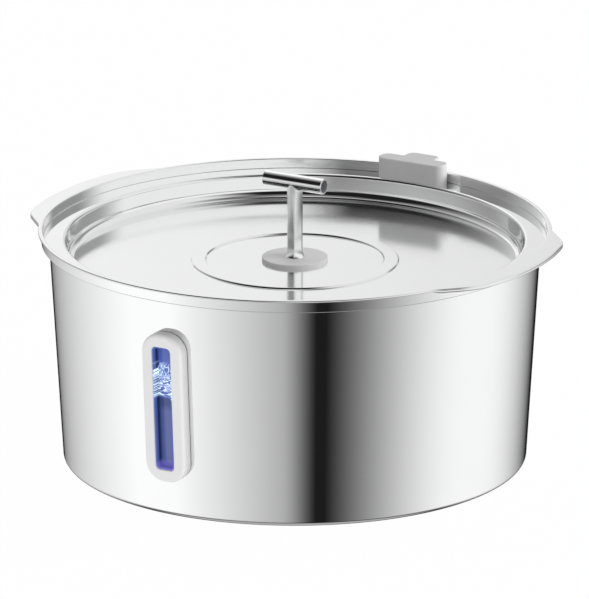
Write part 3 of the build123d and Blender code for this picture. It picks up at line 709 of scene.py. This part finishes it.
fleece = Finish("fleece_pad")
fibres = fleece.noise(0.7, detail=5.0, where=fleece.stretched((1.0, 0.35, 1.0)))
fleece.colour(fleece.blend(fibres, (0.84, 0.85, 0.86), (0.62, 0.64, 0.66)))
fleece.gloss(0.9)
fleece.relief(fibres, 0.25)
fleece.set(Sheen_Weight=0.3)
dress(fleece, "filter_fleece")


# %% [markdown]
# ## The pump's insides
# The motor is a U of stacked steel sheets with a coil of lacquered wire on its foot, and a
# magnet that turns in a well between the arms. A wave texture draws bands on both, along Y on the
# stack and along X on the coil. A band takes in about six sheets or six turns of the wire. The
# magnet, the shaft, its bushes and the resin come out of moulds too, so the helper of the
# plastics makes them.

# %% Motor finishes
def striped(name, axis, pitch_mm, light, dark, gloss, depth_mm):
    """Metal in bands; pitch_mm is the thickness of one sheet or one turn."""
    part = Finish(name)
    wave = part.node("ShaderNodeTexWave", bands_direction=axis)
    wave.inputs["Scale"].default_value = 50.0 / pitch_mm
    wave.inputs["Distortion"].default_value = 0.3
    part.link(part.place, wave.inputs["Vector"])
    part.colour(part.blend(wave.outputs["Fac"], dark, light))
    part.gloss(part.varied(part.noise(4.0), gloss - 0.06, gloss + 0.06))
    part.relief(wave.outputs["Fac"], depth_mm)
    part.set(Metallic=1.0)
    return part


core = striped("laminated_core", "Y", pitch_mm=0.5, light=(0.42, 0.43, 0.45),
               dark=(0.20, 0.20, 0.21), gloss=0.42, depth_mm=0.03)
winding = striped("copper_winding", "X", pitch_mm=0.4, light=(0.75, 0.33, 0.13),
                  dark=(0.30, 0.10, 0.03), gloss=0.30, depth_mm=0.10)
shaft = moulded("ceramic_shaft", (0.86, 0.85, 0.80), gloss=0.18, grain_mm=0.1,
                grain_depth_mm=0.001)
resin = moulded("potting_resin", (0.025, 0.025, 0.028), gloss=0.25, grain_mm=3.0,
                grain_depth_mm=0.03)
dress(core, "stator_core")
dress(winding, "stator_coil")
dress(moulded("ferrite_magnet", (0.060, 0.060, 0.062), gloss=0.55, grain_mm=0.2), "rotor_magnet")
dress(shaft, "rotor_shaft")
dress(moulded("rubber_bush", (0.04, 0.04, 0.045), gloss=0.6), "shaft_bushes")
dress(resin, "potting_block")

# %% [markdown]
# The driver board is lacquered green, and lighter lines along the edges of Voronoi cells stand
# for its tracks. The lamps are blue resin that glows a little. The screws are plain steel with a
# very fine grain.

# %% Board, lamps and screws
board = Finish("circuit_board")
tracks = board.cells(2.4, feature="DISTANCE_TO_EDGE")
off_track = board.spread(tracks, 0.04, 0.10)
board.colour(board.blend(off_track, (0.05, 0.24, 0.10), (0.016, 0.12, 0.05)))
board.gloss(0.3)
board.relief(off_track, 0.035)
dress(board, "driver_board")

lamp_resin = Finish("lamp_resin")
swirl = lamp_resin.noise(2.0)
lamp_resin.colour(lamp_resin.blend(swirl, (0.10, 0.22, 0.80), (0.16, 0.32, 0.90)))
lamp_resin.gloss(lamp_resin.varied(swirl, 0.05, 0.12))
lamp_resin.set(Emission_Color=(0.12, 0.28, 1.0, 1.0), Emission_Strength=0.4)
dress(lamp_resin, "led_lamps")

screws = Finish("screw_steel_finish")
turning = screws.noise(0.25, detail=2.0)
screws.colour(screws.blend(turning, (0.62, 0.62, 0.63), (0.50, 0.50, 0.51)))
screws.gloss(screws.varied(turning, 0.22, 0.34))
screws.relief(turning, 0.004)
screws.set(Metallic=1.0)
dress(screws, "window_screws", "cover_screws")

# %% [markdown]
# ## A floor
# The fountain stands on a white sweep. The floor glows at a strength of 1, which is white, and
# only a small share of it is lit paint, so that it still takes the fountain's soft contact
# shadow. The steel doesn't see the floor: it mirrors the light boxes of the studio.

# %% Floor
FLOOR_SIZE = 12.0
FLOOR_GLOW = 0.985        # the share of the floor's light that is its own
bpy.ops.mesh.primitive_plane_add(size=FLOOR_SIZE, location=(0, 0, 0))
floor = bpy.context.object
floor.name = "floor"
floor_paint = Finish("floor_paint")
floor_paint.colour(floor_paint.blend(floor_paint.noise(40.0), (0.90, 0.90, 0.90), (0.88, 0.88, 0.88)))
floor_paint.gloss(0.9)
white = floor_paint.node("ShaderNodeEmission")
white.inputs["Strength"].default_value = 1.0
share = floor_paint.node("ShaderNodeMixShader")
share.inputs["Fac"].default_value = FLOOR_GLOW
floor_paint.link(floor_paint.shader.outputs[0], share.inputs[1])
floor_paint.link(white.outputs[0], share.inputs[2])
floor_paint.link(share.outputs[0], floor_paint.tree.nodes["Material Output"].inputs["Surface"])
floor.data.materials.append(floor_paint.material)
floor.visible_glossy = False
print("floor:", floor.dimensions[:])

# %% [markdown]
# ## The studio that the steel mirrors
# Polished steel has no colour of its own: it is drawn by what stands round it. So the studio is a
# world whose brightness depends on the direction that a ray looks in. A world is a tree of nodes
# as well, and gets short helpers like those of a finish.

# %% Nodes of the studio
world = bpy.data.worlds.new("studio")
bpy.context.scene.world = world
world.use_nodes = True
sky = world.node_tree
sky.nodes.clear()


def sky_node(kind, **settings):
    made = sky.nodes.new(kind)
    for key, value in settings.items():
        setattr(made, key, value)
    return made


def sky_put(socket, value):
    if isinstance(value, (int, float)):
        socket.default_value = value
    else:
        sky.links.new(value, socket)


def sky_calc(operation, *values):
    made = sky_node("ShaderNodeMath", operation=operation)
    for socket, value in zip(made.inputs, values):
        sky_put(socket, value)
    return made.outputs[0]


def fade(value, start, end, low=0.0, high=1.0, power=1.0, soft=True):
    """Goes from low at start to high at end, and stays there."""
    made = sky_node("ShaderNodeMapRange", clamp=True)
    made.interpolation_type = "SMOOTHSTEP" if soft else "LINEAR"
    for socket, number in zip(made.inputs, (value, start, end, low, high)):
        sky_put(socket, number)
    return made.outputs[0] if power == 1.0 else sky_calc("POWER", made.outputs[0], power)


def times(first, *others):
    for other in others:
        first = sky_calc("MULTIPLY", first, other)
    return first


def sky_mix(amount, first, second):
    made = sky_node("ShaderNodeMix", data_type="FLOAT")
    sky_put(made.inputs[0], amount)
    sky_put(made.inputs[2], first)
    sky_put(made.inputs[3], second)
    return made.outputs[0]


# %% [markdown]
# A direction is written as a bearing and a height, both in degrees. Bearing 0 is towards the
# camera, and positive is to the camera's right. Height 0 is level, and 90 is straight up. The
# direction is turned by the camera's bearing first, so that its X points to the camera.

# %% Bearing and height of a direction, in degrees
CAMERA_BEARING = -60.0    # degrees round from +X to the camera
DEGREES = 180 / math.pi
direction = sky_node("ShaderNodeTexCoord").outputs["Generated"]
turn = sky_node("ShaderNodeVectorRotate", rotation_type="Z_AXIS")
turn.inputs["Angle"].default_value = math.radians(-CAMERA_BEARING)
sky.links.new(direction, turn.inputs["Vector"])
look = sky_node("ShaderNodeSeparateXYZ")
sky.links.new(turn.outputs[0], look.inputs[0])
to_camera, to_right, upwards = look.outputs
bearing = sky_calc("MULTIPLY", sky_calc("ARCTAN2", to_right, to_camera), DEGREES)
height = sky_calc("MULTIPLY", sky_calc("ARCSINE", upwards), DEGREES)
away = sky_calc("ABSOLUTE", bearing)

# %% [markdown]
# Two tall light boxes stand near the floor, one on the left and one on the right. A black flag
# with a soft edge leaves a gap between them, and that gap is the dark stripe on the wall. Each box
# fades away from its middle, because real boxes are brightest where their tubes are, and both are
# brighter below the horizon than above it. A narrower box closes the ring at the back.

# %% The boxes near the floor
left_box = times(
    fade(bearing, -167, -85, soft=False, power=0.5),
    fade(bearing, -62, 39, low=1.03, high=0.0, soft=False),
    fade(bearing, 13, -7),
)
right_box = times(
    fade(bearing, 12, 92, power=0.8),
    fade(bearing, 167, 105, power=0.6),
    0.97,
)
low = times(
    sky_calc("MAXIMUM", left_box, right_box),
    fade(height, -16, -8, low=1.0, high=0.68),
    fade(height, 22, 8),
)
back_strip = times(fade(away, 140, 165, high=0.9), fade(height, -10, -4))

# %% [markdown]
# Four more reach higher up: one at the front right, which starts just below the horizon, one that
# fills the back for the level surfaces, one high at the back and one high on the right. The rest
# of the ceiling is nearly black, with a faint light straight above.

# %% The boxes above them
front_box = times(
    fade(bearing, -34, 6),
    fade(bearing, 96, 122, low=0.90, high=0.30),
    fade(height, -12, -5),
    fade(height, 29, 22),
)
back_left = fade(bearing, -78, -172, high=0.92, soft=False, power=1.3)
back_right = fade(bearing, 142, 174, high=0.90)
back_box = times(sky_calc("MAXIMUM", back_left, back_right), fade(height, 8, 13))
high_back = times(fade(bearing, -136, -162), fade(height, 16, 24), fade(height, 64, 50))
high_right = times(fade(bearing, 20, 62), fade(height, 16, 24), fade(height, 78, 56), 0.80)
zenith = fade(height, 62, 80, high=0.20)

# %% [markdown]
# Where boxes overlap, the brightest one counts. Right behind the fountain the light gets weaker
# from left to right. Well below the horizon it gets dark, which gives the thin dark line under
# every rounded edge, and the ground further down is grey.

# %% The sum of all
BLACK = 0.012
GROUND = 0.42
boxes = BLACK
for box in (low, back_strip, front_box, back_box, high_back, high_right, zenith):
    boxes = sky_calc("MAXIMUM", boxes, box)
behind = times(fade(away, 150, 168), fade(height, 0, 8))
lean = sky_mix(behind, 1.0, fade(to_right, -0.07, 0.07, low=1.05, high=0.85))
ground = fade(height, -50, -64, high=GROUND)
everything = sky_calc("MAXIMUM", times(boxes, fade(height, -58, -28), lean), ground)

# %% [markdown]
# Light Path tells what kind of ray is asking. The camera sees plain white. Mirror rays see the
# boxes. Every other ray sees the same boxes, evened out: they count for 0.6, a level light of 0.6
# is added all over the dome, and less comes from straight above. That is the level where a colour
# renders about as it is written.

# %% Who sees what
BOX_SHARE, LEVEL_LIGHT = 0.60, 0.60
ray = sky_node("ShaderNodeLightPath").outputs


def glow_of(strength):
    made = sky_node("ShaderNodeBackground")
    made.inputs["Color"].default_value = (1.0, 1.0, 1.0, 1.0)
    sky_put(made.inputs["Strength"], strength)
    return made.outputs[0]


def choose(amount, first, second):
    made = sky_node("ShaderNodeMixShader")
    sky_put(made.inputs["Fac"], amount)
    sky.links.new(first, made.inputs[1])
    sky.links.new(second, made.inputs[2])
    return made.outputs[0]


evened = times(
    sky_calc("MULTIPLY_ADD", everything, BOX_SHARE, LEVEL_LIGHT),
    fade(height, 15, 70, low=1.12, high=0.60),
)
dome = choose(ray["Is Glossy Ray"], glow_of(evened), glow_of(everything))
seen = choose(ray["Is Camera Ray"], dome, glow_of(1.0))
sky.links.new(seen, sky_node("ShaderNodeOutputWorld").inputs["Surface"])
print("studio nodes:", len(sky.nodes))

# %% [markdown]
# ## A key lamp
# A large soft lamp stands low, almost straight to the camera's right. It brightens the right side
# of the silicone pieces and leaves their fronts to the dome. The steel doesn't mirror it.

# %% Key lamp
key_data = bpy.data.lights.new("key", "AREA")
key_data.shape = "DISK"
key_data.size = 1.2
key_data.energy = 32.0
key = bpy.data.objects.new("key", key_data)
bpy.context.collection.objects.link(key)
key.location = (1.75, 0.80, 0.38)
key.rotation_euler = (-key.location).to_track_quat("-Z", "Y").to_euler()
key.visible_glossy = False
print("key lamp:", [round(v, 2) for v in key.location])

# %% [markdown]
# ## The camera
# A long lens from three metres away keeps the bowl's ellipses calm. The camera stands in front
# and to the right, and looks down at about seventeen degrees. Depth of field stays off, and the
# view transform is Standard, so that colours come out as they were written.

# %% Camera
camera_data = bpy.data.cameras.new("camera")
camera_data.lens = 442.1
camera_data.sensor_width = 36.0
camera_data.clip_end = 50.0
camera = bpy.data.objects.new("camera", camera_data)
bpy.context.scene.collection.objects.link(camera)
camera.location = (1.5375, -2.6364, 0.9949)
camera.rotation_euler = (math.radians(73.1435), 0.0, math.radians(30.2534))
bpy.context.scene.camera = camera
bpy.context.scene.view_settings.view_transform = "Standard"
print("camera: %.2f m from the foot of the fountain" % camera.location.length)
